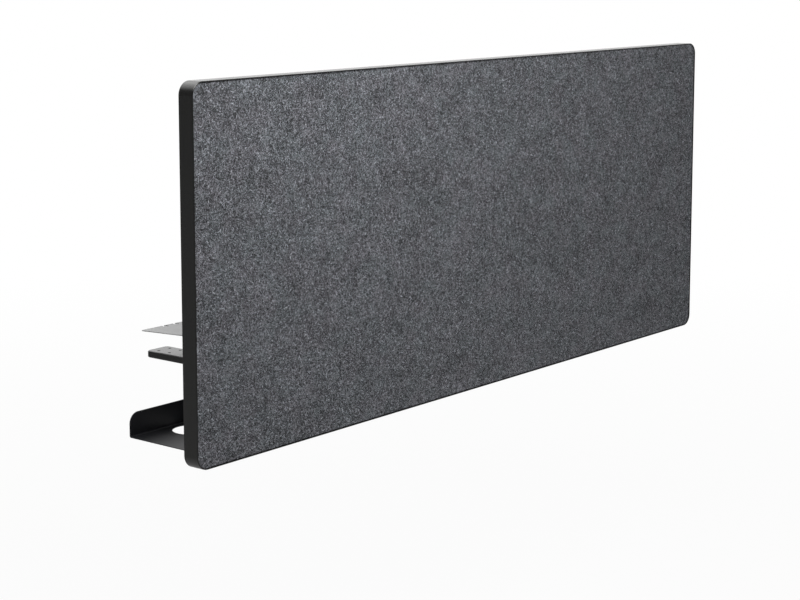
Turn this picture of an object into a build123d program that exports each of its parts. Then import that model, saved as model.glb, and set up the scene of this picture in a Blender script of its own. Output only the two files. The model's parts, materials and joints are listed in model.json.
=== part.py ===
from build123d import *
import os
from math import cos, radians, sin, tan

# Acoustic screen for the edge of a desk, in millimetres.
# Two felt boards on a wooden core sit in a bent edge profile. Two arms under the desktop
# and two plates above it hold the screen, and a folded tray behind it carries cables.
# X runs along the screen, Y from the screen to the desk, and Z is up.
# The origin is halfway along the screen, in the plane of its back rim, level with the tops
# of the arms, which is where the lower edge of the desktop meets the screen.

# Screen
panel_length = 1600.0
panel_height = 650.0
panel_thickness = 33.0
panel_corner_radius = 24.0
panel_drop = 175.0

# Edge profile, an extrusion with a web and two fins, bent round the corners
profile_web = 1.8
profile_fin = 1.4
profile_fin_depth = 9.0
profile_edge_chamfer = 1.0
profile_joint_gap = 0.3
profile_joint_offset = 240.0

# Plate inside the profile that holds its two ends together
splice_length = 90.0
splice_thickness = 3.0
splice_side_gap = 0.2
splice_screw_near = 13.0
splice_screw_far = 33.0
splice_shank_radius = 1.5
splice_head_radius = 2.8
splice_head_depth = 1.5
splice_screw_length = 4.4

# Felt boards
felt_thickness = 8.0
felt_recess = 1.5
felt_edge_gap = 0.3
felt_edge_round = 1.0

# Wooden core
tongue_clearance = 0.1
core_edge_gap = 0.4
top_rail_width = 50.0
bottom_rail_width = 60.0
stile_width = 40.0
centre_stile_width = 60.0
mount_rail_margin = 10.0
dowel_radius = 4.0
dowel_length = 40.0
dowel_fit = 0.1
stile_dowel_spacing = 20.0
mount_dowel_spacing = 36.0
centre_dowel_spacing = 30.0
absorber_gap = 0.3

# Arms under the desktop
arm_inset = 52.0
arm_width = 50.0
arm_reach = 142.5
arm_thickness = 12.0
arm_tip_radius = 8.0
arm_edge_round = 2.5
arm_flange_height = 66.0
arm_flange_thickness = 6.0
arm_root_round = 6.0
arm_rib_thickness = 7.0
arm_rib_reach = 62.0
arm_rib_rise = 6.0
arm_hole_radius = 2.75
arm_hole_spacing = 26.0
arm_hole_setback = 19.5
arm_screw_spacing = 28.0
arm_screw_drop = 27.0
arm_screw_edge = 11.0

# Plates above the desktop
plate_inset = 50.0
plate_width = 130.0
plate_reach = 152.0
plate_sheet = 1.5
plate_tilt = 2.5
plate_bend_radius = 2.5
plate_flange_height = 38.0
plate_corner_radius = 4.0
plate_hole_radius = 5.0
plate_hole_spacing = 26.0
plate_hole_setback = 7.0
plate_mouth_width = 5.5
plate_screw_spacing = 90.0
plate_screw_rise = 23.0
slot_height = 33.0

# Cable tray
tray_inset = 50.0
tray_depth = 186.0
tray_height = 44.0
tray_rise = 13.0
tray_sheet = 1.5
tray_bend_radius = 2.0
tray_flange_height = 38.0
tray_corner_radius = 20.0
tray_flange_corner_radius = 5.0
tray_hole_radius = 36.0
tray_hole_inset = 106.0
tray_hole_setback = 49.0
tray_screw_count = 5
tray_screw_inset = 60.0
tray_screw_rise = 22.0

# Screws with low heads, threaded inserts in the core and sleeves through the felt
arm_shank_radius = 3.0
arm_shank_length = 25.0
arm_head_radius = 5.25
arm_head_height = 3.3
arm_socket_radius = 2.3
arm_socket_depth = 2.0
sheet_shank_radius = 2.5
sheet_shank_length = 20.0
sheet_head_radius = 4.75
sheet_head_height = 2.75
sheet_socket_radius = 1.75
sheet_socket_depth = 1.6
head_taper = 1.5
shank_clearance = 0.25
thread_clearance = 0.05
insert_wall = 1.6
insert_length = 12.0
insert_fit = 0.05
sleeve_wall = 3.0
sleeve_clearance = 0.3

# One overrun serves all cuts that pass right through
cut_overrun = 1.0

# Depths through the screen, from the back rim to the front rim
core_back = -(felt_recess + felt_thickness)
core_front = felt_recess + felt_thickness - panel_thickness
core_middle = (core_back + core_front) / 2
core_thickness = core_back - core_front
groove_depth = profile_fin + tongue_clearance
channel_width = core_thickness - 2 * profile_fin

# Heights
panel_bottom = -panel_drop
panel_top = panel_height - panel_drop
panel_middle = (panel_top + panel_bottom) / 2
core_inset = profile_web + core_edge_gap
groove_inset = core_inset + profile_fin_depth
bottom_rail_top = panel_bottom + core_inset + bottom_rail_width
top_rail_bottom = panel_top - core_inset - top_rail_width
stile_inner = panel_length / 2 - core_inset - stile_width
stile_middle = stile_inner + stile_width / 2
plate_root = slot_height + plate_reach * tan(radians(plate_tilt))
mount_rail_bottom = -(arm_flange_height + mount_rail_margin)
mount_rail_top = plate_root + plate_flange_height + mount_rail_margin
mount_rail_middle = (mount_rail_top + mount_rail_bottom) / 2

# Places along the screen
arm_centre = panel_length / 2 - arm_inset - arm_width / 2
plate_centre = panel_length / 2 - plate_inset - plate_width / 2
tray_length = panel_length - 2 * tray_inset
tray_bottom = panel_bottom + tray_rise
splice_bottom = panel_bottom + profile_web
splice_notch_height = profile_web + splice_thickness + core_edge_gap

# Screw places, as (x, z) on the back of the screen
arm_screw_places = [
    (side * arm_centre + column * arm_screw_spacing / 2, height)
    for side in (-1, 1)
    for column in (-1, 1)
    for height in (-arm_screw_drop, arm_screw_edge - arm_flange_height)
]
plate_screw_height = plate_root + plate_screw_rise
plate_screw_places = [
    (side * plate_centre + column * plate_screw_spacing / 2, plate_screw_height)
    for side in (-1, 1)
    for column in (-1, 1)
]
tray_screw_height = tray_bottom + tray_screw_rise
tray_screw_pitch = (tray_length - 2 * tray_screw_inset) / (tray_screw_count - 1)
tray_screw_places = [
    (tray_screw_inset - tray_length / 2 + index * tray_screw_pitch, tray_screw_height)
    for index in range(tray_screw_count)
]
splice_screw_places = [
    (profile_joint_offset + side * distance, core_middle)
    for side in (-1, 1)
    for distance in (splice_screw_near, splice_screw_far)
]

# Dowels: upright ones in the ends of the stiles, level ones in the ends of the mount rail
upright_dowel_places = [
    Location((side * stile_middle + column * stile_dowel_spacing / 2, core_middle, height))
    for side in (-1, 1)
    for column in (-1, 1)
    for height in (bottom_rail_top, top_rail_bottom)
] + [
    Location((column * centre_dowel_spacing / 2, core_middle, height))
    for column in (-1, 1)
    for height in (mount_rail_top, top_rail_bottom)
]
quarter_turn = (0, 90, 0)
level_dowel_places = [
    Location((side * stile_inner, core_middle, height), quarter_turn)
    for side in (-1, 1)
    for height in (
        mount_rail_middle - mount_dowel_spacing / 2,
        mount_rail_middle + mount_dowel_spacing / 2,
    )
]
dowel_places = upright_dowel_places + level_dowel_places


def facing_plane(depth):
    """Plane parallel to the screen at a depth, drawn in X and Z, with its normal to the front."""
    return Plane.XZ.offset(-depth)


def screen_outline(inset, mode=Mode.ADD):
    """Rounded outline of the screen, drawn in by an inset."""
    with Locations((0, panel_middle)):
        RectangleRounded(
            panel_length - 2 * inset, panel_height - 2 * inset, panel_corner_radius - inset, mode=mode
        )


def cut_round_holes(places, radius, start, depth):
    """Round holes into the current part, from a depth plane towards the front."""
    with BuildSketch(facing_plane(start)) as holes:
        with Locations(*places):
            Circle(radius)
    extrude(holes.sketch, amount=depth, mode=Mode.SUBTRACT)


def cut_fin_grooves():
    """Rebates on both faces of the current core piece, which leave the tongue between the fins."""
    for start in (core_back, core_front + groove_depth):
        with BuildSketch(facing_plane(start)) as groove:
            screen_outline(0)
            screen_outline(groove_inset, mode=Mode.SUBTRACT)
        extrude(groove.sketch, amount=groove_depth, mode=Mode.SUBTRACT)


def cut_dowel_holes():
    """Dowel holes into the current core piece."""
    with Locations(*dowel_places):
        Cylinder(dowel_radius + dowel_fit, dowel_length + 2 * dowel_fit, mode=Mode.SUBTRACT)


def cut_insert_holes(places, shank_radius):
    """Blind holes for the threaded inserts, from the back of the current core piece."""
    radius = shank_radius + thread_clearance + insert_wall + insert_fit
    cut_round_holes(places, radius, core_back, insert_length)


def core_piece(left, right, bottom, top):
    """Board of the core between four limits, kept inside the rounded outline of the core."""
    with BuildSketch(facing_plane(core_back)) as board:
        screen_outline(core_inset)
        with Locations(((left + right) / 2, (bottom + top) / 2)):
            Rectangle(right - left, top - bottom, mode=Mode.INTERSECT)
    extrude(board.sketch, amount=core_thickness)
    cut_fin_grooves()
    cut_dowel_holes()


def absorber_slab(left, right, bottom, top):
    """Soft infill of one bay of the core, a little smaller than the bay all round."""
    with BuildSketch(facing_plane(core_back - absorber_gap)) as slab:
        with Locations(((left + right) / 2, (bottom + top) / 2)):
            Rectangle(right - left - 2 * absorber_gap, top - bottom - 2 * absorber_gap)
    extrude(slab.sketch, amount=core_thickness - 2 * absorber_gap)


def socket_screw(shank_radius, shank_length, head_radius, head_height, socket_radius, socket_depth):
    """Screw with a low head and a hexagon socket, its head on y = 0 and its shank to the front."""
    with BuildPart() as screw:
        with BuildSketch():
            with BuildLine():
                Polyline(
                    (0, head_height),
                    (0, -shank_length),
                    (shank_radius, -shank_length),
                    (shank_radius, 0),
                    (head_radius, 0),
                    (head_radius - head_taper, head_height),
                    close=True,
                )
            make_face()
        revolve(axis=Axis.Y)
        with BuildSketch(facing_plane(head_height)):
            RegularPolygon(socket_radius, 6)
        extrude(amount=socket_depth, mode=Mode.SUBTRACT)
    return screw.part


def screw_group(screw, places, seat):
    """Copies of a screw, with their heads on the plane at a depth."""
    with Locations(*[(x, seat, z) for x, z in places]):
        add(screw)


def insert_group(places, shank_radius):
    """Threaded inserts, flush with the back of the core."""
    bore_radius = shank_radius + thread_clearance
    with BuildSketch(facing_plane(core_back)) as rings:
        with Locations(*places):
            Circle(bore_radius + insert_wall)
            Circle(bore_radius, mode=Mode.SUBTRACT)
    extrude(rings.sketch, amount=insert_length)


def sleeve_group(places, shank_radius):
    """Sleeves through the rear felt, which carry the clamping force from a flange to the core."""
    bore_radius = shank_radius + shank_clearance
    with BuildSketch(facing_plane(0)) as rings:
        with Locations(*places):
            Circle(bore_radius + sleeve_wall)
            Circle(bore_radius, mode=Mode.SUBTRACT)
    extrude(rings.sketch, amount=felt_recess + felt_thickness)


def cut_sleeve_holes(places, shank_radius):
    """Holes in the rear felt that clear the sleeves."""
    radius = shank_radius + shank_clearance + sleeve_wall + sleeve_clearance
    cut_round_holes(places, radius, 0, felt_recess + felt_thickness + cut_overrun)


def countersunk_screw(shank_radius, length, head_radius, head_depth):
    """Screw with a countersunk head. Its head is flush with z = 0 and its shank runs up."""
    with BuildPart() as screw:
        with BuildSketch(Plane.XZ):
            with BuildLine():
                Polyline(
                    (0, 0),
                    (head_radius, 0),
                    (shank_radius, head_depth),
                    (shank_radius, length),
                    (0, length),
                    close=True,
                )
            make_face()
        revolve(axis=Axis.Z)
    return screw.part


arm_screw = socket_screw(
    arm_shank_radius, arm_shank_length, arm_head_radius, arm_head_height, arm_socket_radius,
    arm_socket_depth,
)
sheet_screw = socket_screw(
    sheet_shank_radius, sheet_shank_length, sheet_head_radius, sheet_head_height, sheet_socket_radius,
    sheet_socket_depth,
)
splice_screw = countersunk_screw(
    splice_shank_radius, splice_screw_length, splice_head_radius, splice_head_depth
)
splice_screw_hole = countersunk_screw(
    splice_shank_radius + thread_clearance, splice_screw_length, splice_head_radius + thread_clearance,
    splice_head_depth,
)
plate_top = Plane(
    origin=(0, plate_reach, slot_height + plate_sheet),
    x_dir=(1, 0, 0),
    z_dir=(0, sin(radians(plate_tilt)), cos(radians(plate_tilt))),
)

os.makedirs("parts", exist_ok=True)

# Edge profile: its section is swept along the bent outline, from one side of the joint round to the other
with BuildPart() as edge_profile:
    with BuildLine(facing_plane(0)) as profile_run:
        FilletPolyline(
            (profile_joint_offset + profile_joint_gap / 2, panel_bottom),
            (panel_length / 2, panel_bottom),
            (panel_length / 2, panel_top),
            (-panel_length / 2, panel_top),
            (-panel_length / 2, panel_bottom),
            (profile_joint_offset - profile_joint_gap / 2, panel_bottom),
            radius=panel_corner_radius,
        )
    profile_start = Plane(origin=profile_run.line @ 0, x_dir=(0, 1, 0), z_dir=profile_run.line % 0)
    with BuildSketch(profile_start) as profile_section:
        Rectangle(panel_thickness, profile_web, align=(Align.MAX, Align.MIN))
        chamfer(profile_section.vertices().group_by(Axis.Y)[0], profile_edge_chamfer)
        with Locations((core_back, profile_web)):
            Rectangle(profile_fin, profile_fin_depth, align=(Align.MAX, Align.MIN))
        with Locations((core_front, profile_web)):
            Rectangle(profile_fin, profile_fin_depth, align=(Align.MIN, Align.MIN))
    sweep()
    for x, y in splice_screw_places:
        with Locations((x, y, panel_bottom)):
            add(splice_screw_hole, mode=Mode.SUBTRACT)
edge_profile.part.label = "edge_profile"
export_step(edge_profile.part, "parts/edge_profile.step")

# Plate across the joint of the profile, between its fins
with BuildPart() as profile_splice:
    with BuildSketch(Plane.XY.offset(splice_bottom)):
        with Locations((profile_joint_offset, core_middle)):
            Rectangle(splice_length, channel_width - 2 * splice_side_gap)
        with Locations(*splice_screw_places):
            Circle(splice_shank_radius + thread_clearance, mode=Mode.SUBTRACT)
    extrude(amount=splice_thickness)
profile_splice.part.label = "profile_splice"
export_step(profile_splice.part, "parts/profile_splice.step")

with BuildPart() as splice_screws:
    with Locations(*[(x, y, panel_bottom) for x, y in splice_screw_places]):
        add(splice_screw)
splice_screws.part.label = "splice_screws"
export_step(splice_screws.part, "parts/splice_screws.step")

# Felt boards: pressed felt, rounded along the edge that shows
with BuildPart() as front_felt:
    with BuildSketch(facing_plane(core_front)):
        screen_outline(profile_web + felt_edge_gap)
    extrude(amount=felt_thickness)
    fillet(front_felt.faces().sort_by(Axis.Y)[0].edges(), felt_edge_round)
front_felt.part.label = "front_felt"
export_step(front_felt.part, "parts/front_felt.step")

with BuildPart() as rear_felt:
    with BuildSketch(facing_plane(core_back + felt_thickness)):
        screen_outline(profile_web + felt_edge_gap)
    extrude(amount=felt_thickness)
    fillet(rear_felt.faces().sort_by(Axis.Y)[-1].edges(), felt_edge_round)
    cut_sleeve_holes(arm_screw_places, arm_shank_radius)
    cut_sleeve_holes(plate_screw_places, sheet_shank_radius)
    cut_sleeve_holes(tray_screw_places, sheet_shank_radius)
rear_felt.part.label = "rear_felt"
export_step(rear_felt.part, "parts/rear_felt.step")

# Core: rails and stiles with a tongue all round, joined with dowels
with BuildPart() as top_rail:
    core_piece(-panel_length / 2, panel_length / 2, top_rail_bottom, panel_top)
top_rail.part.label = "top_rail"
export_step(top_rail.part, "parts/top_rail.step")

with BuildPart() as bottom_rail:
    core_piece(-panel_length / 2, panel_length / 2, panel_bottom, bottom_rail_top)
    cut_insert_holes(tray_screw_places, sheet_shank_radius)
    with BuildSketch(facing_plane(core_back)):
        with Locations((profile_joint_offset, panel_bottom)):
            Rectangle(splice_length + 2 * core_edge_gap, 2 * splice_notch_height)
    extrude(amount=core_thickness, mode=Mode.SUBTRACT)
bottom_rail.part.label = "bottom_rail"
export_step(bottom_rail.part, "parts/bottom_rail.step")

with BuildPart() as left_stile:
    core_piece(-panel_length / 2, -stile_inner, bottom_rail_top, top_rail_bottom)
left_stile.part.label = "left_stile"
export_step(left_stile.part, "parts/left_stile.step")

with BuildPart() as right_stile:
    core_piece(stile_inner, panel_length / 2, bottom_rail_top, top_rail_bottom)
right_stile.part.label = "right_stile"
export_step(right_stile.part, "parts/right_stile.step")

with BuildPart() as mount_rail:
    core_piece(-stile_inner, stile_inner, mount_rail_bottom, mount_rail_top)
    cut_insert_holes(arm_screw_places, arm_shank_radius)
    cut_insert_holes(plate_screw_places, sheet_shank_radius)
mount_rail.part.label = "mount_rail"
export_step(mount_rail.part, "parts/mount_rail.step")

with BuildPart() as centre_stile:
    core_piece(-centre_stile_width / 2, centre_stile_width / 2, mount_rail_top, top_rail_bottom)
centre_stile.part.label = "centre_stile"
export_step(centre_stile.part, "parts/centre_stile.step")

with BuildPart() as frame_dowels:
    with Locations(*dowel_places):
        Cylinder(dowel_radius, dowel_length)
frame_dowels.part.label = "frame_dowels"
export_step(frame_dowels.part, "parts/frame_dowels.step")

# Absorber slabs in the bays of the core
with BuildPart() as absorber_upper_left:
    absorber_slab(-stile_inner, -centre_stile_width / 2, mount_rail_top, top_rail_bottom)
absorber_upper_left.part.label = "absorber_upper_left"
export_step(absorber_upper_left.part, "parts/absorber_upper_left.step")

with BuildPart() as absorber_upper_right:
    absorber_slab(centre_stile_width / 2, stile_inner, mount_rail_top, top_rail_bottom)
absorber_upper_right.part.label = "absorber_upper_right"
export_step(absorber_upper_right.part, "parts/absorber_upper_right.step")

with BuildPart() as absorber_lower:
    absorber_slab(-stile_inner, stile_inner, bottom_rail_top, mount_rail_bottom)
absorber_lower.part.label = "absorber_lower"
export_step(absorber_lower.part, "parts/absorber_lower.step")

# Arms: the side outline of the bar and its root flange, extruded, rounded, ribbed and drilled
for end_name, side in (("left", -1), ("right", 1)):
    centre = side * arm_centre
    with BuildPart() as arm:
        with BuildSketch(Plane.YZ.offset(centre - arm_width / 2)) as arm_side:
            with BuildLine():
                Polyline(
                    (0, 0),
                    (arm_reach, 0),
                    (arm_reach, -arm_thickness),
                    (arm_flange_thickness, -arm_thickness),
                    (arm_flange_thickness, -arm_flange_height),
                    (0, -arm_flange_height),
                    close=True,
                )
            make_face()
            root_corner = arm_side.vertices().sort_by_distance((arm_flange_thickness, -arm_thickness))[0]
            fillet(root_corner, arm_root_round)
        extrude(amount=arm_width)
        fillet(arm.edges().filter_by(Axis.Z).group_by(Axis.Y)[-1], arm_tip_radius)
        bar_edges = arm.edges().filter_by(Axis.Y).group_by(Axis.Z)[-2:]
        fillet(bar_edges[0] + bar_edges[1], arm_edge_round)
        with BuildSketch(Plane.YZ.offset(centre - arm_rib_thickness / 2)):
            with BuildLine():
                Polyline(
                    (0, -arm_thickness),
                    (arm_rib_reach, -arm_thickness),
                    (arm_flange_thickness, arm_rib_rise - arm_flange_height),
                    (0, arm_rib_rise - arm_flange_height),
                    close=True,
                )
            make_face()
        extrude(amount=arm_rib_thickness)
        with BuildSketch():
            with Locations((centre, arm_reach - arm_hole_setback - arm_hole_spacing / 2)):
                with GridLocations(arm_hole_spacing, arm_hole_spacing, 2, 2):
                    Circle(arm_hole_radius)
        extrude(amount=-(arm_thickness + cut_overrun), mode=Mode.SUBTRACT)
        cut_round_holes(
            arm_screw_places, arm_shank_radius + shank_clearance, arm_flange_thickness,
            arm_flange_thickness + cut_overrun,
        )
    arm.part.label = f"arm_{end_name}"
    export_step(arm.part, f"parts/arm_{end_name}.step")

with BuildPart() as arm_screws:
    screw_group(arm_screw, arm_screw_places, arm_flange_thickness)
arm_screws.part.label = "arm_screws"
export_step(arm_screws.part, "parts/arm_screws.step")

with BuildPart() as arm_inserts:
    insert_group(arm_screw_places, arm_shank_radius)
arm_inserts.part.label = "arm_inserts"
export_step(arm_inserts.part, "parts/arm_inserts.step")

with BuildPart() as arm_sleeves:
    sleeve_group(arm_screw_places, arm_shank_radius)
arm_sleeves.part.label = "arm_sleeves"
export_step(arm_sleeves.part, "parts/arm_sleeves.step")

# Upper plates: bent sheet whose free edge dips towards the arm, so that it grips the desktop,
# and whose two round holes each have a mouth to that edge, so that it slips over set screws
for end_name, side in (("left", -1), ("right", 1)):
    centre = side * plate_centre
    with BuildPart() as upper_plate:
        with BuildSketch(Plane.YZ.offset(centre - plate_width / 2)):
            with BuildLine():
                FilletPolyline(
                    (plate_sheet / 2, plate_root + plate_flange_height),
                    (plate_sheet / 2, plate_root + plate_sheet / 2),
                    (plate_reach, slot_height + plate_sheet / 2),
                    radius=plate_bend_radius + plate_sheet / 2,
                )
            trace(line_width=plate_sheet)
        extrude(amount=plate_width)
        free_edge = upper_plate.faces().sort_by(Axis.Y)[-1]
        flange_edge = upper_plate.faces().sort_by(Axis.Z)[-1]
        corners = (free_edge.edges() + flange_edge.edges()).filter_by(Axis.X, reverse=True)
        fillet(corners, plate_corner_radius)
        with BuildSketch(plate_top.offset(cut_overrun)):
            with Locations((centre, -plate_hole_setback)):
                with GridLocations(plate_hole_spacing, 0, 2, 1):
                    Circle(plate_hole_radius)
                    Rectangle(
                        plate_mouth_width,
                        plate_hole_setback + cut_overrun,
                        align=(Align.CENTER, Align.MIN),
                    )
        extrude(amount=-(plate_sheet + 2 * cut_overrun), mode=Mode.SUBTRACT)
        cut_round_holes(
            plate_screw_places, sheet_shank_radius + shank_clearance, plate_sheet, plate_sheet + cut_overrun
        )
    upper_plate.part.label = f"upper_plate_{end_name}"
    export_step(upper_plate.part, f"parts/upper_plate_{end_name}.step")

with BuildPart() as plate_screws:
    screw_group(sheet_screw, plate_screw_places, plate_sheet)
plate_screws.part.label = "plate_screws"
export_step(plate_screws.part, "parts/plate_screws.step")

with BuildPart() as plate_inserts:
    insert_group(plate_screw_places, sheet_shank_radius)
plate_inserts.part.label = "plate_inserts"
export_step(plate_inserts.part, "parts/plate_inserts.step")

with BuildPart() as plate_sleeves:
    sleeve_group(plate_screw_places, sheet_shank_radius)
plate_sleeves.part.label = "plate_sleeves"
export_step(plate_sleeves.part, "parts/plate_sleeves.step")

# Cable tray: one folded sheet with a flange on the screen, a floor and a rear wall
with BuildPart() as cable_tray:
    with BuildSketch(Plane.YZ.offset(-tray_length / 2)):
        with BuildLine():
            FilletPolyline(
                (tray_sheet / 2, tray_bottom + tray_flange_height),
                (tray_sheet / 2, tray_bottom + tray_sheet / 2),
                (tray_depth - tray_sheet / 2, tray_bottom + tray_sheet / 2),
                (tray_depth - tray_sheet / 2, tray_bottom + tray_height),
                radius=tray_bend_radius + tray_sheet / 2,
            )
        trace(line_width=tray_sheet)
    extrude(amount=tray_length)
    sheet_edges = cable_tray.edges().filter_by(Axis.Y).group_by(Axis.Z)
    fillet(sheet_edges[-1], tray_corner_radius)
    fillet(sheet_edges[-2], tray_flange_corner_radius)
    with BuildSketch(Plane.XY.offset(tray_bottom + tray_sheet)):
        with Locations((0, tray_depth - tray_hole_setback)):
            with GridLocations(tray_length - 2 * tray_hole_inset, 0, 2, 1):
                Circle(tray_hole_radius)
    extrude(amount=-(tray_sheet + cut_overrun), mode=Mode.SUBTRACT)
    cut_round_holes(
        tray_screw_places, sheet_shank_radius + shank_clearance, tray_sheet, tray_sheet + cut_overrun
    )
cable_tray.part.label = "cable_tray"
export_step(cable_tray.part, "parts/cable_tray.step")

with BuildPart() as tray_screws:
    screw_group(sheet_screw, tray_screw_places, tray_sheet)
tray_screws.part.label = "tray_screws"
export_step(tray_screws.part, "parts/tray_screws.step")

with BuildPart() as tray_inserts:
    insert_group(tray_screw_places, sheet_shank_radius)
tray_inserts.part.label = "tray_inserts"
export_step(tray_inserts.part, "parts/tray_inserts.step")

with BuildPart() as tray_sleeves:
    sleeve_group(tray_screw_places, sheet_shank_radius)
tray_sleeves.part.label = "tray_sleeves"
export_step(tray_sleeves.part, "parts/tray_sleeves.step")
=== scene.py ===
# %% [markdown]
# # An acoustic screen for the edge of a desk
# The object is a long board, felt on both faces, framed by a thin black metal band. It hangs on
# a desktop: black arms go under it, grey plates lie on it, and a folded tray below takes cables.
# The lesson dresses a fixed frame of exact solids. Each piece that shows is modelled again by
# hand, with soft edges and a real finish, in the very place where its solid lies.

import bmesh
import bpy
import json
from math import asin, cos, pi, radians
from mathutils import Matrix, Vector


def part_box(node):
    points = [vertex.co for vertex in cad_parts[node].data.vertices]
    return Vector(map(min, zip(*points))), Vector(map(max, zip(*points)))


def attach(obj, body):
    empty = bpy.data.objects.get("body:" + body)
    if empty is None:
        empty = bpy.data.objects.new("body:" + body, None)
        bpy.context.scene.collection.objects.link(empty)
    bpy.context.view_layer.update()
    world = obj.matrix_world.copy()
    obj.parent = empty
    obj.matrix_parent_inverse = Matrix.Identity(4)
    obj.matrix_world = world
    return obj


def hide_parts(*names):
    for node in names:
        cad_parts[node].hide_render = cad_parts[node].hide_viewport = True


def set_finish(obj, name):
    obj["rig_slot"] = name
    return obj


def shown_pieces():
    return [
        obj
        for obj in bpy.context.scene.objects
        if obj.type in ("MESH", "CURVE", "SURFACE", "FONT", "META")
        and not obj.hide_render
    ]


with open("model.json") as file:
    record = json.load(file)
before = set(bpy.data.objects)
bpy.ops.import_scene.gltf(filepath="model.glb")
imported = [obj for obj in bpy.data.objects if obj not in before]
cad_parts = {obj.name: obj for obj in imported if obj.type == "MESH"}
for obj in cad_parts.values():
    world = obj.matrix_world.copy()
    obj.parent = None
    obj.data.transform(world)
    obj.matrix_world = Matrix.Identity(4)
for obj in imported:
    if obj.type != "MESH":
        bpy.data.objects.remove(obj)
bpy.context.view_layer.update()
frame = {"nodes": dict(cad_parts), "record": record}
print(len(frame["nodes"]), "solids in the frame")

# %% [markdown]
# ## The camera
# The photograph was taken with a long lens, from a little higher than the board and from its left.
# The camera was level and its lens shifted, so the uprights stay parallel. Here the camera looks
# down a little instead and keeps a small shift, so that it can be turned round the object without
# losing it.

# %% Camera
camera_data = bpy.data.cameras.new("camera")
camera_data.lens = 84.05
camera_data.sensor_width = 36.0
camera_data.shift_y = -0.12
camera = bpy.data.objects.new("camera", camera_data)
camera.location = (-2.9298, -2.1920, 0.6901)
camera_down = 0.1365
camera_turn = 0.8895
camera.rotation_euler = (pi / 2 - camera_down, 0, -camera_turn)
bpy.context.scene.collection.objects.link(camera)
bpy.context.scene.camera = camera
print("camera with a lens of", round(camera_data.lens, 2), "mm")

# %% [markdown]
# ## Working by hand, in code
# Every new piece starts as a primitive at its real size and place, and is then shaped in edit
# mode. An operator acts on all that is selected, so each step first drops the old selection and
# picks faces, edges or corners by where they lie. These few helpers keep the steps short. Shading
# smooths only where faces meet at a blunt angle, and its normals are weighted by the size of the
# faces, so that a large flat face stays flat beside a narrow bevel.

# %% Helpers for modelling
mm = 0.001
touch = 0.02 * mm
smooth_below = radians(30)
mostly = 0.9


def drop_selection():
    """Leaves edit mode if need be, and deselects everything."""
    if bpy.context.object and bpy.context.object.mode == "EDIT":
        bpy.ops.object.mode_set(mode="OBJECT")
    bpy.ops.object.select_all(action="DESELECT")


def start_box(name, low, high):
    """A box between two corners, open for editing with nothing selected."""
    low = Vector(low)
    high = Vector(high)
    drop_selection()
    bpy.ops.mesh.primitive_cube_add(size=1, location=(low + high) / 2, scale=high - low)
    return open_piece(name)


def start_sheet(name, corner, along, across):
    """A flat rectangle from a corner and its two sides, open for editing with nothing selected."""
    drop_selection()
    bpy.ops.mesh.primitive_plane_add(size=1)
    corner, along, across = Vector(corner), Vector(along), Vector(across)
    turn = Matrix((along, across, along.cross(across).normalized())).transposed().to_4x4()
    turn.translation = corner + (along + across) / 2
    bpy.context.object.matrix_world = turn
    return open_piece(name)


def start_rod(name, radius, start, end, sides=48):
    """A round bar between two points, open for editing with nothing selected."""
    start, end = Vector(start), Vector(end)
    drop_selection()
    bpy.ops.mesh.primitive_cylinder_add(
        vertices=sides,
        radius=radius,
        depth=(end - start).length,
        location=(start + end) / 2,
        rotation=(end - start).to_track_quat("Z", "Y").to_euler(),
    )
    return open_piece(name)


def open_piece(name):
    """Names the new primitive, moves its place into its mesh and opens it for editing."""
    piece = bpy.context.object
    piece.name = name
    piece.data.name = name
    bpy.ops.object.transform_apply(location=True, rotation=True, scale=True)
    bpy.ops.object.mode_set(mode="EDIT")
    bpy.ops.mesh.select_all(action="DESELECT")
    return piece


def pick(kind, test):
    """Selects the corners, edges or faces of the open piece that pass a test, and nothing else."""
    bpy.ops.mesh.select_mode(type=kind)
    bpy.ops.mesh.select_all(action="DESELECT")
    mesh = bpy.context.object.data
    shape = bmesh.from_edit_mesh(mesh)
    items = {"VERT": shape.verts, "EDGE": shape.edges, "FACE": shape.faces}[kind]
    chosen = [item for item in items if test(item)]
    for item in chosen:
        item.select_set(True)
    shape.select_flush_mode()
    bmesh.update_edit_mesh(mesh)
    return len(chosen)


def middle(edge):
    """The point halfway along an edge."""
    return (edge.verts[0].co + edge.verts[1].co) / 2


def runs_along(edge, axis):
    """True if an edge lies along X, Y or Z, given as 0, 1 or 2."""
    way = edge.verts[1].co - edge.verts[0].co
    return abs(way[axis]) > 0.999 * way.length


def near(value, target, within=touch):
    """True if two numbers are as good as equal."""
    return abs(value - target) < within


def close_piece():
    """Leaves edit mode with the piece alone selected and active."""
    bpy.ops.object.mode_set(mode="OBJECT")
    return bpy.context.object


def make_active(piece):
    """Selects one piece and nothing else."""
    drop_selection()
    piece.select_set(True)
    bpy.context.view_layer.objects.active = piece


def apply_modifier(piece, kind, **settings):
    """Adds a modifier, sets it up and applies it to the mesh."""
    make_active(piece)
    modifier = piece.modifiers.new(kind.lower(), kind)
    for name, value in settings.items():
        setattr(modifier, name, value)
    bpy.ops.object.modifier_apply(modifier=modifier.name)


def cut_with(piece, tools):
    """Cuts the shapes of some tools out of a piece and deletes the tools."""
    for tool in tools:
        apply_modifier(piece, "BOOLEAN", operation="DIFFERENCE", solver="EXACT", object=tool)
        bpy.data.objects.remove(tool)


def join_as(name, pieces):
    """Makes one object of several, which keeps them as separate shells."""
    drop_selection()
    for piece in pieces:
        piece.select_set(True)
    bpy.context.view_layer.objects.active = pieces[0]
    bpy.ops.object.join()
    joined = bpy.context.object
    joined.name = name
    joined.data.name = name
    return joined


def soften(piece, width, sharp_above):
    """Breaks every edge whose faces meet at more than an angle."""
    apply_modifier(
        piece, "BEVEL", width=width, segments=2, limit_method="ANGLE", angle_limit=sharp_above
    )


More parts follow.
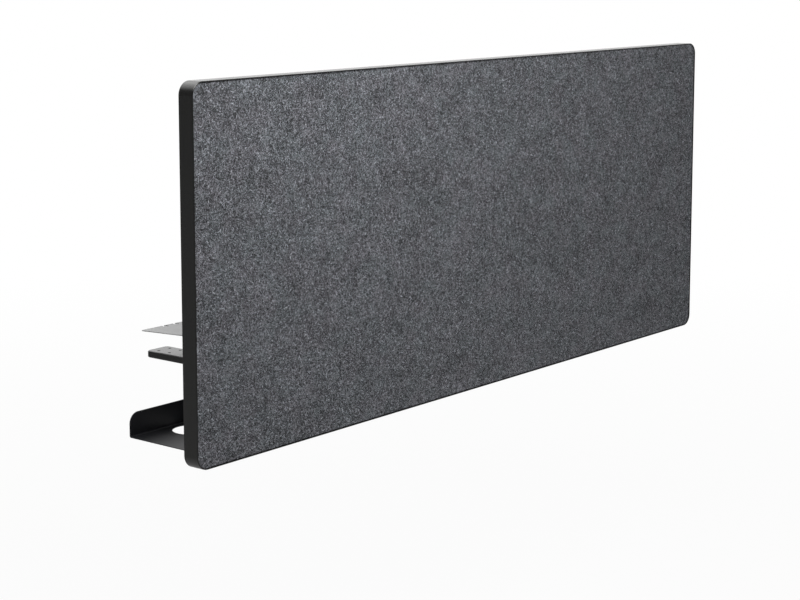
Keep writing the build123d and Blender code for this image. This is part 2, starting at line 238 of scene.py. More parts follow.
def shade(piece):
    """Smooth shading over soft edges, a hard break at sharp ones, and flat faces kept flat."""
    make_active(piece)
    bpy.ops.object.shade_smooth_by_angle(angle=smooth_below)
    apply_modifier(piece, "WEIGHTED_NORMAL", keep_sharp=True)


def seat(piece, slot_name, *nodes):
    """Lets a piece stand for its solids in the frame: hides them, hangs the piece on the root body
    and gives it their finish.
    """
    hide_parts(*nodes)
    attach(piece, "root")
    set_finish(piece, slot_name)
    print(piece.name, len(piece.data.polygons), "faces")


print("lengths within", touch / mm, "mm count as equal")

# %% [markdown]
# ## The edge band
# On the real screen this is a thin extrusion with two fins on its inner side, bent round the
# board and closed under it. A bevelled frame would look alike from outside, but sweeping the
# true section shows how it is made: extrude a run, spin a corner, and so on to the last run. Both
# rims are chamfered, with the chamfers' own edges a little soft, and the front one draws the thin
# dark line round the felt.

# %% Edge band
band_low, band_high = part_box("edge_profile")
felt_low, felt_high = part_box("front_felt")
rear_felt_low, rear_felt_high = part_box("rear_felt")
corner_radius = 24 * mm
web = 1.8 * mm
fin = 1.4 * mm
fin_depth = 9 * mm
band_edge_chamfer = 1.0 * mm
band_edge_soft = 0.2 * mm
corner_steps = 16
joint_place = 240 * mm
joint_gap = 0.3 * mm


def spin_corner(x, z):
    """Carries the selected section a quarter turn about a corner's centre."""
    bpy.ops.mesh.spin(steps=corner_steps, angle=pi / 2, center=(x, 0, z), axis=(0, 1, 0))


def push(x=0.0, y=0.0, z=0.0):
    """Extrudes what is selected."""
    bpy.ops.mesh.extrude_region_move(TRANSFORM_OT_translate={"value": (x, y, z)})


start_x = joint_place + joint_gap / 2
band = start_sheet(
    "edge_band",
    (start_x, band_low.y, band_low.z),
    (0, band_high.y - band_low.y, 0),
    (0, 0, web),
)
core_front = felt_high.y
core_back = rear_felt_low.y
for cut in (core_back, core_back - fin, core_front + fin, core_front):
    bpy.ops.mesh.select_all(action="SELECT")
    bpy.ops.mesh.bisect(plane_co=(start_x, cut, 0), plane_no=(0, 1, 0))
inner_side = band_low.z + web
for low, high in ((core_back - fin, core_back), (core_front, core_front + fin)):
    pick("EDGE", lambda e: near(middle(e).z, inner_side) and low < middle(e).y < high)
    push(z=fin_depth)
pick("VERT", lambda v: near(v.co.z, band_low.z) and (near(v.co.y, band_low.y) or near(v.co.y, 0)))
bpy.ops.mesh.bevel(affect="VERTICES", offset=band_edge_chamfer, segments=1)
bpy.ops.mesh.bevel(affect="VERTICES", offset=band_edge_soft, segments=2)
right_x = band_high.x - corner_radius
top_z = band_high.z - corner_radius
bottom_z = band_low.z + corner_radius
bpy.ops.mesh.select_mode(type="FACE")
bpy.ops.mesh.select_all(action="SELECT")
push(x=right_x - start_x)
spin_corner(right_x, bottom_z)
push(z=top_z - bottom_z)
spin_corner(right_x, top_z)
push(x=-2 * right_x)
spin_corner(-right_x, top_z)
push(z=bottom_z - top_z)
spin_corner(-right_x, bottom_z)
push(x=joint_place - joint_gap / 2 + right_x)
bpy.ops.mesh.select_all(action="SELECT")
bpy.ops.mesh.remove_doubles(threshold=touch / 2)
bpy.ops.mesh.normals_make_consistent(inside=False)
band = close_piece()
seat(band, "black_profile", "edge_profile")
print("band box", [round(x, 4) for x in band.dimensions])

# %% [markdown]
# ## Screws under the band
# A plate inside the band joins its two ends, held by four countersunk screws that show only from
# below. A screw starts as its shank: the lower end is pushed out and widened to make the head.
# The same shape, a little larger, is the tool that cuts its seat in the band.

# %% Screws under the band
splice_shank = 1.5 * mm
splice_head = 2.8 * mm
splice_head_depth = 1.5 * mm
splice_length = 4.4 * mm
splice_room = 0.05 * mm
splice_key = 1.0 * mm
splice_key_depth = 0.9 * mm
splice_near = 13 * mm
splice_far = 33 * mm
splice_sides = 24
key_sides = 6
board_middle = (band_low.y + band_high.y) / 2
splice_places = [
    Vector((joint_place + side * far, board_middle, band_low.z))
    for side in (-1, 1)
    for far in (splice_near, splice_far)
]


def widen(share, centre):
    """Scales what is selected about a point, in X and Y."""
    bpy.ops.transform.resize(value=(share, share, 1), center_override=centre)


def splice_screw(name, place, extra=0.0):
    """A countersunk screw, its head flush with a place and its shank above it."""
    neck = place + Vector((0, 0, splice_head_depth))
    tip = place + Vector((0, 0, splice_length))
    start_rod(name, splice_shank + extra, neck, tip, sides=splice_sides)
    pick("FACE", lambda f: f.normal.z < -mostly)
    push(z=-splice_head_depth)
    widen((splice_head + extra) / (splice_shank + extra), place)
    return close_piece()


cut_with(band, [splice_screw("seat", place, splice_room) for place in splice_places])
shade(band)
splice_screws = []
for place in splice_places:
    screw = splice_screw("screw", place)
    depth = Vector((0, 0, splice_key_depth))
    start_rod("key", splice_key, place - depth, place + depth, sides=key_sides)
    cut_with(screw, [close_piece()])
    splice_screws.append(screw)
splice_screws = join_as("splice_screw_set", splice_screws)
shade(splice_screws)
seat(splice_screws, "zinc_screw", "splice_screws")

# %% [markdown]
# ## The felt boards
# A pressed felt board is stiff, with cut edges that have gone a little round. Its outline follows
# the band's inner corners. The box gets its four corners by a bevel of the edges that run through
# the board, and a second, smaller bevel softens the rim that shows.

# %% Felt boards
felt_rim = 1.5 * mm
felt_rim_steps = 6


def felt_board(name, low, high, face_y):
    """A board between two corners, rounded along the rim of the face at a depth."""
    start_box(name, low, high)
    pick("EDGE", lambda e: runs_along(e, 1))
    bpy.ops.mesh.bevel(offset=corner_radius - (low.x - band_low.x), segments=corner_steps)
    pick("EDGE", lambda e: near(e.verts[0].co.y, face_y) and near(e.verts[1].co.y, face_y))
    bpy.ops.mesh.bevel(offset=felt_rim, segments=felt_rim_steps)
    return close_piece()


front_board = felt_board("felt_face", felt_low, felt_high, felt_low.y)
shade(front_board)
seat(front_board, "felt_grey", "front_felt")
rear_board = felt_board("felt_back", rear_felt_low, rear_felt_high, rear_felt_high.y)

# %% [markdown]
# ## The places of the flange screws
# Arms, plates and tray are each screwed through a flange into the core. Their screws pass the
# rear felt inside sleeves, so the felt has a hole for each. All these places follow from the
# boxes of the solids and a few spacings.

# %% Places of the flange screws
arm_box = {side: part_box("arm_" + side) for side in ("left", "right")}
plate_box = {side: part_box("upper_plate_" + side) for side in ("left", "right")}
tray_low, tray_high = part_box("cable_tray")
arm_screw_spacing = 28 * mm
arm_screw_drop = 27 * mm
arm_screw_edge = 11 * mm
plate_screw_spacing = 90 * mm
plate_screw_fall = 15 * mm
tray_screw_count = 5
tray_screw_inset = 60 * mm
tray_screw_rise = 22 * mm


def centre_x(box):
    """The X halfway between a box's two corners."""
    return (box[0].x + box[1].x) / 2


arm_places = [
    Vector((centre_x(box) + side * arm_screw_spacing / 2, 0, height))
    for box in arm_box.values()
    for side in (-1, 1)
    for height in (-arm_screw_drop, box[0].z + arm_screw_edge)
]
plate_places = [
    Vector((centre_x(box) + side * plate_screw_spacing / 2, 0, box[1].z - plate_screw_fall))
    for box in plate_box.values()
    for side in (-1, 1)
]
tray_run = tray_high.x - tray_low.x - 2 * tray_screw_inset
tray_first = Vector((tray_low.x + tray_screw_inset, 0, tray_low.z + tray_screw_rise))
tray_places = [
    tray_first + Vector((step * tray_run / (tray_screw_count - 1), 0, 0))
    for step in range(tray_screw_count)
]
arm_shank = 3.0 * mm
sheet_shank = 2.5 * mm
screw_room = 0.25 * mm
sleeve_wall = 3.0 * mm
sleeve_room = 0.3 * mm


def through(places, radius, start_y, end_y):
    """Rods along Y at some places, from one depth to another, to cut round holes with."""
    rods = []
    for place in places:
        start, end = (place.x, start_y, place.z), (place.x, end_y, place.z)
        start_rod("hole", radius, start, end, sides=hole_sides)
        rods.append(close_piece())
    return rods


past = 2 * mm
hole_sides = 32
sleeve = screw_room + sleeve_wall + sleeve_room
before_felt = rear_felt_low.y - past
holes = through(arm_places, arm_shank + sleeve, before_felt, past)
holes += through(plate_places + tray_places, sheet_shank + sleeve, before_felt, past)
cut_with(rear_board, [join_as("holes", holes)])
shade(rear_board)
seat(rear_board, "felt_grey", "rear_felt")

# %% [markdown]
# ## The arms
# Each arm is a casting: a bar with a round nose, a flange at its root and a thin rib between
# them. The bar is a box, and its underside is pushed down behind a cut to make the flange. Wide
# bevels come first and the small one that softens every edge comes last.

# %% Arms
arm_bar = 12 * mm
arm_flange = 6 * mm
arm_root = 6 * mm
arm_nose = 8 * mm
arm_soft = 2.5 * mm
arm_break = 0.3 * mm
arm_break_above = radians(70)
sharp_turn = radians(60)
root_steps = 8
nose_steps = 12
soft_steps = 5
rib_width = 7 * mm
rib_reach = 62 * mm
rib_rise = 6 * mm
arm_hole = 2.75 * mm
arm_hole_spacing = 26 * mm
arm_hole_setback = 19.5 * mm


def make_arm(name, side):
    """Bar, flange and rib, with its four holes and the seats of its screws."""
    low, high = arm_box[side]
    start_box(name, (low.x, low.y, -arm_bar), high)
    bpy.ops.mesh.select_all(action="SELECT")
    bpy.ops.mesh.bisect(plane_co=(0, arm_flange, 0), plane_no=(0, 1, 0))
    pick("FACE", lambda f: f.normal.z < -mostly and f.calc_center_median().y < arm_flange)
    push(z=low.z + arm_bar)
    root_line = Vector((0, arm_flange, -arm_bar)).yz
    pick("EDGE", lambda e: runs_along(e, 0) and (middle(e).yz - root_line).length < touch)
    bpy.ops.mesh.bevel(offset=arm_root, segments=root_steps)
    pick("EDGE", lambda e: runs_along(e, 2) and near(middle(e).y, high.y))
    bpy.ops.mesh.bevel(offset=arm_nose, segments=nose_steps)
    pick("EDGE", lambda e: e.calc_face_angle(0) > sharp_turn and not near(middle(e).y, 0))
    bpy.ops.mesh.bevel(offset=arm_soft, segments=soft_steps)
    arm = close_piece()
    middle_x = centre_x((low, high))
    rib_foot = low.z + rib_rise
    start_box(
        "rib",
        (middle_x - rib_width / 2, arm_flange / 2, rib_foot),
        (middle_x + rib_width / 2, rib_reach, -arm_bar / 2),
    )
    slope = Vector((0, -arm_bar - rib_foot, arm_flange - rib_reach))
    bpy.ops.mesh.select_all(action="SELECT")
    bpy.ops.mesh.bisect(
        plane_co=(0, rib_reach, -arm_bar), plane_no=slope, use_fill=True, clear_outer=True
    )
    rib = close_piece()
    apply_modifier(arm, "BOOLEAN", operation="UNION", solver="EXACT", object=rib)
    bpy.data.objects.remove(rib)
    rods = []
    hole_y = high.y - arm_hole_setback - arm_hole_spacing / 2
    drop = Vector((0, 0, arm_bar + past))
    for x in (-1, 1):
        for y in (-1, 1):
            spot = Vector((middle_x, hole_y, 0)) + Vector((x, y, 0)) * arm_hole_spacing / 2
            start_rod("hole", arm_hole, spot - drop, spot + drop, sides=hole_sides)
            rods.append(close_piece())
    mine = [place for place in arm_places if place.x * middle_x > 0]
    rods += through(mine, arm_shank + screw_room, -past, arm_flange + past)
    cut_with(arm, [join_as("holes", rods)])
    soften(arm, arm_break, arm_break_above)
    return arm


for side in ("left", "right"):
    arm = make_arm(side + "_arm", side)
    shade(arm)
    seat(arm, "black_arm", "arm_" + side)

# %% [markdown]
# ## The upper plates
# A plate is one sheet with a single bend. It starts as the flat middle of the flange, whose lower
# edge is pushed out to the free edge. The bend and the corners are bevels, and only then does the
# sheet get its thickness, so that both of its sides stay parallel all the way round. Its two
# round holes are cut by rods. A few faces of each rod are pushed on past the free edge, which
# leaves a narrow mouth that slips over a screw.

# %% Upper plates
plate_sheet = 1.5 * mm
plate_flange = 38 * mm
plate_reach = 152 * mm
plate_bend = 3.25 * mm
plate_corner = 4 * mm
plate_hole = 5 * mm
plate_hole_spacing = 26 * mm
plate_hole_setback = 7 * mm
plate_mouth = 5.5 * mm
plate_break = 0.25 * mm
plate_hole_sides = 54
bend_steps = 8


def thicken(piece, sheet):
    """Gives a bent surface the thickness of its sheet."""
    apply_modifier(piece, "SOLIDIFY", thickness=sheet, offset=0, use_even_offset=True)
    make_active(piece)
    bpy.ops.object.mode_set(mode="EDIT")
    bpy.ops.mesh.select_all(action="SELECT")
    bpy.ops.mesh.normals_make_consistent(inside=False)
    bpy.ops.object.mode_set(mode="OBJECT")


def make_plate(name, side):
    """Bent sheet with two holes open to its free edge and two in its flange."""
    low, high = plate_box[side]
    half = plate_sheet / 2
    bend_z = high.z - plate_flange + half
    free_z = low.z + half
    wide = high.x - low.x
    start_sheet(name, (low.x, half, high.z), (wide, 0, 0), (0, 0, bend_z - high.z))
    pick("EDGE", lambda e: near(middle(e).z, bend_z))
    push(y=plate_reach - half, z=free_z - bend_z)
    pick("EDGE", lambda e: near(middle(e).z, bend_z) and runs_along(e, 0))
    bpy.ops.mesh.bevel(offset=plate_bend, segments=bend_steps)
    pick("VERT", lambda v: near(v.co.z, high.z) or near(v.co.y, plate_reach))
    bpy.ops.mesh.bevel(affect="VERTICES", offset=plate_corner, segments=bend_steps)
    plate = close_piece()
    thicken(plate, plate_sheet)
    fall = Vector((0, plate_reach - half, free_z - bend_z)).normalized()
    up = Vector((0, -fall.z, fall.y))
    centre = Vector((centre_x((low, high)), plate_reach, free_z)) - fall * plate_hole_setback
    way_out = fall * (plate_hole_setback + past)
    mouth_angle = asin(plate_mouth / 2 / plate_hole)
    rods = []
    for step in (-1, 1):
        spot = centre + Vector((step * plate_hole_spacing / 2, 0, 0))
        start_rod("hole", plate_hole, spot - up * past, spot + up * past, plate_hole_sides)
        pick("FACE", lambda f: f.normal.dot(fall) > cos(mouth_angle))
        push(y=way_out.y, z=way_out.z)
        rods.append(close_piece())
    mine = [place for place in plate_places if place.x * centre.x > 0]
    rods += through(mine, sheet_shank + screw_room, -past, plate_sheet + past)
    cut_with(plate, [join_as("holes", rods)])
    soften(plate, plate_break, sharp_turn)
    return plate


for side in ("left", "right"):
    plate = make_plate(side + "_plate", side)
    shade(plate)
    seat(plate, "grey_plate", "upper_plate_" + side)

# %% [markdown]
# ## The cable tray
# The tray is folded from one sheet as well: a flange on the screen, a floor and a rear wall whose
# upper corners are well rounded. It is drawn as the plates are, with one more fold, and the large
# holes in the floor let plugs and cables through.

# %% Cable tray
tray_sheet = 1.5 * mm
tray_flange = 38 * mm
tray_bend = 2.75 * mm
tray_corner = 20 * mm
tray_flange_corner = 5 * mm
tray_corner_steps = 16
tray_break = 0.2 * mm
tray_hole = 36 * mm
tray_hole_sides = 96
tray_hole_inset = 106 * mm
tray_hole_setback = 49 * mm

half = tray_sheet / 2
floor_z = tray_low.z + half
flange_z = tray_low.z + tray_flange
wall_y = tray_high.y - half
start_sheet(
    "tray",
    (tray_low.x, half, flange_z),
    (tray_high.x - tray_low.x, 0, 0),
    (0, 0, floor_z - flange_z),
)
pick("EDGE", lambda e: near(middle(e).z, floor_z))
push(y=wall_y - half)
push(z=tray_high.z - floor_z)
pick("EDGE", lambda e: near(middle(e).z, floor_z) and runs_along(e, 0))
bpy.ops.mesh.bevel(offset=tray_bend, segments=bend_steps)
pick("VERT", lambda v: near(v.co.z, tray_high.z))
bpy.ops.mesh.bevel(affect="VERTICES", offset=tray_corner, segments=tray_corner_steps)
pick("VERT", lambda v: near(v.co.z, flange_z))
bpy.ops.mesh.bevel(affect="VERTICES", offset=tray_flange_corner, segments=bend_steps)
tray = close_piece()
thicken(tray, tray_sheet)
rods = through(tray_places, sheet_shank + screw_room, -past, tray_sheet + past)
drop = Vector((0, 0, past))
for end in (-1, 1):
    hole_x = end * (tray_high.x - tray_hole_inset)
    spot = Vector((hole_x, tray_high.y - tray_hole_setback, floor_z))
    start_rod("hole", tray_hole, spot - drop, spot + drop, sides=tray_hole_sides)
    rods.append(close_piece())
cut_with(tray, [join_as("holes", rods)])
soften(tray, tray_break, sharp_turn)
shade(tray)
seat(tray, "black_tray", "cable_tray")

# %% [markdown]
# ## Flange screws
# The screws have low round heads with a hexagon socket. One is modelled lying along Y with its
# head on the plane y = 0: the head is a short rod with a soft rim, its back is inset and pushed
# out to make the shank, and a six-sided rod cuts the socket. The others are copies.

# %% Flange screws
arm_screw_length = 25 * mm
arm_head = 5.25 * mm
arm_head_height = 3.3 * mm
arm_key = 2.3 * mm
arm_key_depth = 2.0 * mm
sheet_screw_length = 20 * mm
sheet_head = 4.75 * mm
sheet_head_height = 2.75 * mm
sheet_key = 1.75 * mm
sheet_key_depth = 1.6 * mm
tip_share = 0.8


def make_screw(shank, length, head, height, key, key_depth):
    """A screw with its head on y = 0 and its shank towards the front."""
    start_rod("screw", head, (0, 0, 0), (0, height, 0))
    pick("EDGE", lambda e: near(middle(e).y, height, height / 4) and not runs_along(e, 1))
    bpy.ops.mesh.bevel(offset=height / 2, segments=soft_steps)
    pick("FACE", lambda f: f.normal.y < -mostly)
    bpy.ops.mesh.inset(thickness=head - shank)
    push(y=-length)
    bpy.ops.transform.resize(value=(tip_share, 1, tip_share), center_override=(0, -length, 0))
    screw = close_piece()
    start_rod("key", key, (0, height - key_depth, 0), (0, height + past, 0), sides=key_sides)
    cut_with(screw, [close_piece()])
    return screw


def copies_at(screw, name, places, seat_y):
    """One object that holds a copy of a screw at each place."""
    copies = []
    for place in places:
        make_active(screw)
        bpy.ops.object.duplicate(linked=False)
        bpy.ops.transform.translate(value=(place.x, seat_y, place.z))
        bpy.ops.object.transform_apply(location=True, rotation=False, scale=False)
        copies.append(bpy.context.object)
    bpy.data.objects.remove(screw)
    return join_as(name, copies)


arm_screw = make_screw(
    arm_shank, arm_screw_length, arm_head, arm_head_height, arm_key, arm_key_depth
)
arm_set = copies_at(arm_screw, "arm_screw_set", arm_places, arm_flange)
sheet_screw = make_screw(
    sheet_shank, sheet_screw_length, sheet_head, sheet_head_height, sheet_key, sheet_key_depth
)
make_active(sheet_screw)
bpy.ops.object.duplicate(linked=False)
plate_set = copies_at(bpy.context.object, "plate_screw_set", plate_places, plate_sheet)
tray_set = copies_at(sheet_screw, "tray_screw_set", tray_places, tray_sheet)
screw_sets = {"arm_screws": arm_set, "plate_screws": plate_set, "tray_screws": tray_set}
for node, screws in screw_sets.items():
    shade(screws)
    seat(screws, "zinc_screw", node)

# %% [markdown]
# ## Materials as sums
# Shader maths reads best as plain sums. One small class wraps a socket, so that `1 - mask` adds a
# Math node, and any other node comes from one method that takes its type, its settings and what
# goes into its sockets. Every pattern reads Object coordinates, so its sizes are real ones.

# %% A class for shader sums
class Flow:
    """A value, colour or place on its way through the nodes of a material."""

    def __init__(self, tree, socket=None):
        self.tree = tree
        self.socket = socket

    def node(self, kind, settings=None, inputs=None, output=0):
        """Adds a node: its settings first, then the values or links of its sockets."""
        made = self.tree.nodes.new(kind)
        for name, value in (settings or {}).items():
            if name == "stops":
                set_stops(made.color_ramp.elements, value)
            else:
                setattr(made, name, value)
        for name, value in (inputs or {}).items():
            if isinstance(value, Flow):
                self.tree.links.new(value.socket, made.inputs[name])
            else:
                made.inputs[name].default_value = value
        return Flow(self.tree, made.outputs[output] if made.outputs else None)

    def math(self, operation, first, second):
        """A Math node on two flows or numbers."""
        return self.node("ShaderNodeMath", {"operation": operation}, {0: first, 1: second})

    def __add__(self, other):
        return self.math("ADD", self, other)

    def __sub__(self, other):
        return self.math("SUBTRACT", self, other)

    def __rsub__(self, other):
        return self.math("SUBTRACT", other, self)

    def __mul__(self, other):
        return self.math("MULTIPLY", self, other)

    __radd__ = __add__
    __rmul__ = __mul__

    def laid(self, size, turn=(0, 0, 0)):
        """These coordinates turned, then measured in cells of a size given in metres."""
        inputs = {0: self, 2: turn, 3: size}
        return self.node("ShaderNodeMapping", {"vector_type": "TEXTURE"}, inputs)

    def along(self, way):
        """How far this direction agrees with another one: 1 if alike, -1 if opposite."""
        settings = {"operation": "DOT_PRODUCT"}
        return self.node("ShaderNodeVectorMath", settings, {0: self, 1: way}, output=1)

    def noise(self, detail=2.0, roughness=0.5, distortion=0.0):
        """Noise about a middle of 0, with one cell for each unit of these coordinates."""
        settings = {"Vector": self, "Scale": 1.0, "Detail": detail}
        settings.update({"Roughness": roughness, "Distortion": distortion})
        return self.node("ShaderNodeTexNoise", None, settings) - 0.5

    def ramp(self, *stops):
        """A grey from this value, by stops of a place and a grey."""
        return self.node("ShaderNodeValToRGB", {"stops": stops}, {0: self})

    def tint(self, dark, light):
        """The colour between two that this value picks, each a flow or three numbers."""
        dark, light = [c if isinstance(c, Flow) else (*c, 1) for c in (dark, light)]
        inputs = {0: self, 6: dark, 7: light}
        return self.node("ShaderNodeMix", {"data_type": "RGBA"}, inputs, output=2)


def set_stops(ramp, stops):
    """Gives a ramp its stops, each a place and a grey."""
    while len(ramp) < len(stops):
        ramp.new(1.0)
    for stop, (place, grey) in zip(ramp, stops):
        stop.position = place
        stop.color = (grey, grey, grey, 1)


def start_tree(owner):
    """Empties a node tree and gives a first flow in it."""
    owner.use_nodes = True
    owner.node_tree.nodes.clear()
    return Flow(owner.node_tree)


finishes = {}


def start_finish(slot_name):
    """A new material for a slot, and the Object coordinates in it."""
    finishes[slot_name] = bpy.data.materials.new(slot_name)
    return start_tree(finishes[slot_name]).node("ShaderNodeTexCoord", output=3)


def end_finish(place, relief, height, **sockets):
    """Ends a material in one shader, with a relief of a height in metres."""
    inputs = {name.replace("_", " "): value for name, value in sockets.items()}
    inputs["Normal"] = place.node("ShaderNodeBump", None, {"Distance": height, "Height": relief})
    shader = place.node("ShaderNodeBsdfPrincipled", None, inputs)
    place.node("ShaderNodeOutputMaterial", None, {"Surface": shader})


# %% [markdown]
# ## Felt
# The felt is needled from dyed fibres, most of them charcoal, some nearly black, some pale. From a
# step away they read as a fine heather with soft patches, and close up as short threads that lie
# every way. An even noise would look like stone, so the pattern is a sum of noises in cells of
# real sizes: wide clouds, patches, clumps, and threads from a noise that is stretched and turned.
# The palest fibres are few and lie on top.

# %% Felt
charcoal = (0.012, 0.0125, 0.014)
cool_grey = (0.285, 0.315, 0.345)
warm_grey = (0.315, 0.310, 0.350)
pale = (0.50, 0.52, 0.57)
cloud_cell = (0.06, 0.06, 0.05)
patch_cell = (0.018, 0.018, 0.014)
clump_cell = (0.0018, 0.0016, 0.0017)
thread_cell = (0.006, 0.0025, 0.001)
thread_ways = 4
dye_cell = (0.045, 0.045, 0.04)
fleck_cell = (0.006, 0.004, 0.0013)
fleck_ways = 3
fleck_from, fleck_full = 0.16, 0.22

place = start_finish("felt_grey")
clouds = place.laid(cloud_cell).noise(2)
patches = place.laid(patch_cell, (0, 0.9, 0)).noise(2)
clumps = place.laid(clump_cell, (0, 0.5, 0)).noise(2, 0.5, 1.0)
threads = 0
for step in range(thread_ways):
    turned = place.laid(thread_cell, (0.2 * step, step * pi / thread_ways, 0))
    threads = turned.noise(1, 0.5, 0.8) + threads
heather = 0.18 + 0.4 * clouds + 0.55 * patches + 2.6 * clumps + 1.2 * threads
dyed = (0.5 + 3.0 * place.laid(dye_cell).noise(1)).tint(cool_grey, warm_grey)
flecks = 0
for step in range(fleck_ways):
    turned = place.laid(fleck_cell, (0.3, 0.4 + step * pi / fleck_ways, 0))
    flecks = turned.noise(1, 0.5, 1.0).ramp((fleck_from, 0.0), (fleck_full, 1.0)) + flecks
end_finish(
    place,
    relief=clumps + 0.7 * threads,
    height=0.5 * mm,
    Base_Color=flecks.tint(heather.tint(charcoal, dyed), pale),
    Roughness=0.95 - 0.1 * threads,
    Sheen_Weight=0.06,
    Sheen_Roughness=0.5,
)
print("felt_grey", len(finishes["felt_grey"].node_tree.nodes), "nodes")

# %% [markdown]
# ## Powder coat and paint
# The black parts are powder coated, which leaves a fine, soft ripple like the peel of an orange.
# The plates are painted light grey. One function makes all of them, because they differ only in
# colour, gloss and ripple. The band and the arms shine most, and the tray is duller.

# %% Powder coat and paint
drift_cell = (0.05, 0.05, 0.05)
grain_cell = (0.0006, 0.0006, 0.0006)
peel_cell = (0.0022, 0.0022, 0.0022)
coarse_ripple = 0.006 * mm
fine_ripple = 0.0015 * mm


def coat(slot_name, colour, roughness, ripple, clear=0.0, glare=0.5):
    """A coat whose colour and gloss drift a little, over a ripple of a height in metres."""
    place = start_finish(slot_name)
    drift = place.laid(drift_cell).noise(3)
    grain = place.laid(grain_cell).noise(1)
    peel = place.laid(peel_cell).noise(2, 0.6)
    dark = [0.8 * share for share in colour]
    light = [1.2 * share for share in colour]
    end_finish(
        place,
        relief=peel + 0.15 * grain,
        height=ripple,
        Base_Color=(0.5 + drift + 0.5 * grain).tint(dark, light),
        Roughness=roughness + 0.15 * drift + 0.1 * peel,
        Specular_IOR_Level=glare,
        Coat_Weight=clear,
        Coat_Roughness=roughness,
    )
    print(slot_name, "ripple", ripple)


coat("black_profile", (0.0055, 0.0055, 0.0049), 0.24, coarse_ripple, clear=0.35)
coat("black_arm", (0.0030, 0.0032, 0.0028), 0.18, fine_ripple, clear=0.35)
coat("black_tray", (0.018, 0.0187, 0.0217), 0.45, coarse_ripple, clear=0.25, glare=0.25)
coat("grey_plate", (0.44, 0.44, 0.44), 0.50, coarse_ripple)

# %% [markdown]
# ## Metals of the fasteners
# Zinc plate is a little cloudy, turned aluminium and brass carry fine rings from the lathe, and
# the splice keeps the drawn lines of its mill finish. All four are one metal with other sizes for
# the streaks, which run fine across and long along the way that the tool went.

# %% Metals of the fasteners
bloom_cell = (0.003, 0.003, 0.003)
turned_streak = (0.004, 0.0002, 0.004)


def metal(slot_name, colour, roughness, streak):
    """Bare or plated metal whose streaks have a size in metres along X, Y and Z."""
    place = start_finish(slot_name)
    streaks = place.laid(streak).noise(2, 0.6)
    bloom = place.laid(bloom_cell).noise(3, 0.6)
    dark = [0.85 * share for share in colour]
    end_finish(
        place,
        relief=streaks,
        height=0.01 * mm,
        Base_Color=(0.6 + 1.5 * bloom + streaks).tint(dark, colour),
        Roughness=roughness + 0.3 * streaks + 0.4 * bloom,
        Metallic=1.0,
    )
    print(slot_name, "streaks", streak)


metal("zinc_screw", (0.62, 0.62, 0.63), 0.34, (0.0004, 0.0004, 0.0004))
metal("brass_insert", (0.78, 0.60, 0.30), 0.30, turned_streak)
metal("sleeve_aluminium", (0.76, 0.76, 0.77), 0.32, turned_streak)
metal("splice_aluminium", (0.76, 0.76, 0.77), 0.36, (0.03, 0.0003, 0.0003))

# %% [markdown]
# ## Inside the board
# The core and its absorbers don't show, but each still has its own finish, for anyone who takes
# the board apart: plywood with long grain, beech dowels, and a loose white wadding.

# %% Inside the board
def wood(slot_name, dark, light, grain_size):
    """Planed wood with grain of a size in metres along X, Y and Z."""
    place = start_finish(slot_name)
    grain = place.laid(grain_size).noise(4, 0.6, 0.6)
    pores = place.laid([size / 6 for size in grain_size]).noise(2)
    end_finish(
        place,
        relief=pores + 0.4 * grain,
        height=0.05 * mm,
        Base_Color=(0.5 + 1.8 * grain + 0.6 * pores).tint(dark, light),
        Roughness=0.6 + 0.3 * pores,
    )
    print(slot_name, "grain", grain_size)


wood("core_wood", (0.48, 0.35, 0.22), (0.70, 0.56, 0.39), (0.12, 0.006, 0.012))
wood("dowel_wood", (0.55, 0.40, 0.26), (0.75, 0.59, 0.42), (0.02, 0.0015, 0.0015))

tuft_cell = (0.008, 0.008, 0.008)
hair_cell = (0.006, 0.002, 0.0006)
wadding_dark = (0.62, 0.62, 0.60)
wadding_light = (0.84, 0.84, 0.83)
place = start_finish("absorber")
tufts = place.laid(tuft_cell).noise(4, 0.7, 2.0)
hairs = place.laid(hair_cell, (0, 0.6, 0)).noise(2, 0.5, 1.5)
end_finish(
    place,
    relief=tufts + 0.5 * hairs,
    height=1.0 * mm,
    Base_Color=(0.5 + 1.2 * tufts + 0.8 * hairs).tint(wadding_dark, wadding_light),
    Roughness=0.95 - 0.1 * hairs,
)
print("absorber", len(finishes["absorber"].node_tree.nodes), "nodes")

# %% [markdown]
# ## Dressing
# The record says which finish each solid has, and each new piece was given the same name when it
# was seated. So one pass dresses them all, and none can be left bare.

# %% Dressing
wears = {}
for part in frame["record"]["subparts"]:
    wears[frame["nodes"][part["node"]]] = part["material_slot"]
wears.update({piece: piece["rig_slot"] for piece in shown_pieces() if "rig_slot" in piece})
for piece, slot_name in wears.items():
    piece.data.materials.clear()
    piece.data.materials.append(finishes[slot_name])
print(len(wears), "objects dressed in", len(finishes), "finishes")

# %% [markdown]
# ## The floor
# The screen hangs at desk height over a pale floor that melts into a white backdrop. To the camera
# alone the floor is nearly all white: it keeps a faint shadow below the screen and is plain white
# further out. Every other ray meets the grey paint, so that the white adds no light.

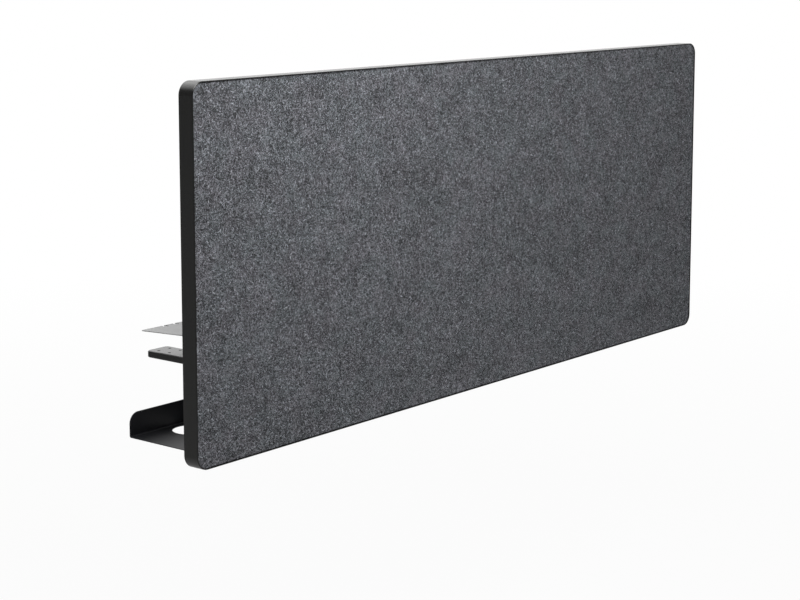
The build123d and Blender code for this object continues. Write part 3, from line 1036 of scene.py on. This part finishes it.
# %% Floor
floor_level = -0.715
floor_size = 30
floor_white_near = 0.95
fade_scale = 5.0
fade_from = 1.25
fade_to = 4.5
paint_dark = (0.48, 0.48, 0.48)
paint_light = (0.52, 0.52, 0.52)
dust_cell = (0.02, 0.02, 0.02)
bpy.ops.mesh.primitive_plane_add(size=floor_size, location=(0, 0, floor_level))
floor = bpy.context.object
floor.name = "floor"
floor_material = bpy.data.materials.new("pale_floor")
tree = start_tree(floor_material)
seen = tree.node("ShaderNodeLightPath")
spot = tree.node("ShaderNodeTexCoord", output=3)
reach = spot.node("ShaderNodeVectorMath", {"operation": "LENGTH"}, {0: spot}, output=1)
whiteness = (reach * (1 / fade_scale)).ramp(
    (fade_from / fade_scale, floor_white_near), (fade_to / fade_scale, 1.0)
)
dust = spot.laid(dust_cell).noise(3)
paint = tree.node(
    "ShaderNodeBsdfPrincipled",
    None,
    {"Base Color": (0.5 + dust).tint(paint_dark, paint_light), "Roughness": 0.6},
)
glow = tree.node("ShaderNodeEmission")
blend = tree.node("ShaderNodeMixShader", None, {0: seen * whiteness, 1: paint, 2: glow})
tree.node("ShaderNodeOutputMaterial", None, {"Surface": blend})
floor.data.materials.append(floor_material)
print("floor at", floor_level)

# %% [markdown]
# ## The room and the lamp
# The world is plain white to the camera. To all other rays it is a dim room that grows bright
# behind the screen, with one brighter window high up there, which gives the black band the
# highlight on its upper corner. One large soft box hangs above and before the screen, left of its
# middle. It makes the felt a little lighter at that end and leaves the far end darker.

# %% Room and lamp
backdrop_way = (0.777, 0.629, 0.0)
room_dim = 0.15
room_bright = 1.0
dim_below = 0.10
bright_above = 0.75
window_way = (0.02, 0.72, 0.69)
window_bright = 1.3
window_rim = 0.84
window_core = 0.97
world = bpy.data.worlds.new("room")
bpy.context.scene.world = world
tree = start_tree(world)
seen = tree.node("ShaderNodeLightPath")
way = tree.node("ShaderNodeTexCoord")
room = way.along(backdrop_way).ramp((dim_below, room_dim), (bright_above, room_bright))
window = way.along(window_way).ramp((window_rim, 0.0), (window_core, 1.0))
room = room + window_bright * window
strength = seen + (1 - seen) * room
light = tree.node("ShaderNodeBackground", None, {"Color": (1, 1, 1, 1), "Strength": strength})
tree.node("ShaderNodeOutputWorld", None, {"Surface": light})

lamp_data = bpy.data.lights.new("soft_box", "AREA")
lamp_data.shape = "RECTANGLE"
lamp_data.size = 2.0
lamp_data.size_y = 0.8
lamp_data.energy = 32
lamp = bpy.data.objects.new("soft_box", lamp_data)
lamp_place = Vector((-0.7, -0.8, 1.4))
lamp_aim = Vector((0, 0, 0.1))
lamp.location = lamp_place
lamp.rotation_euler = (lamp_aim - lamp_place).to_track_quat("-Z", "Y").to_euler()
bpy.context.scene.collection.objects.link(lamp)
bpy.context.scene.view_settings.view_transform = "Standard"
print("lamp", lamp_data.energy, "W")
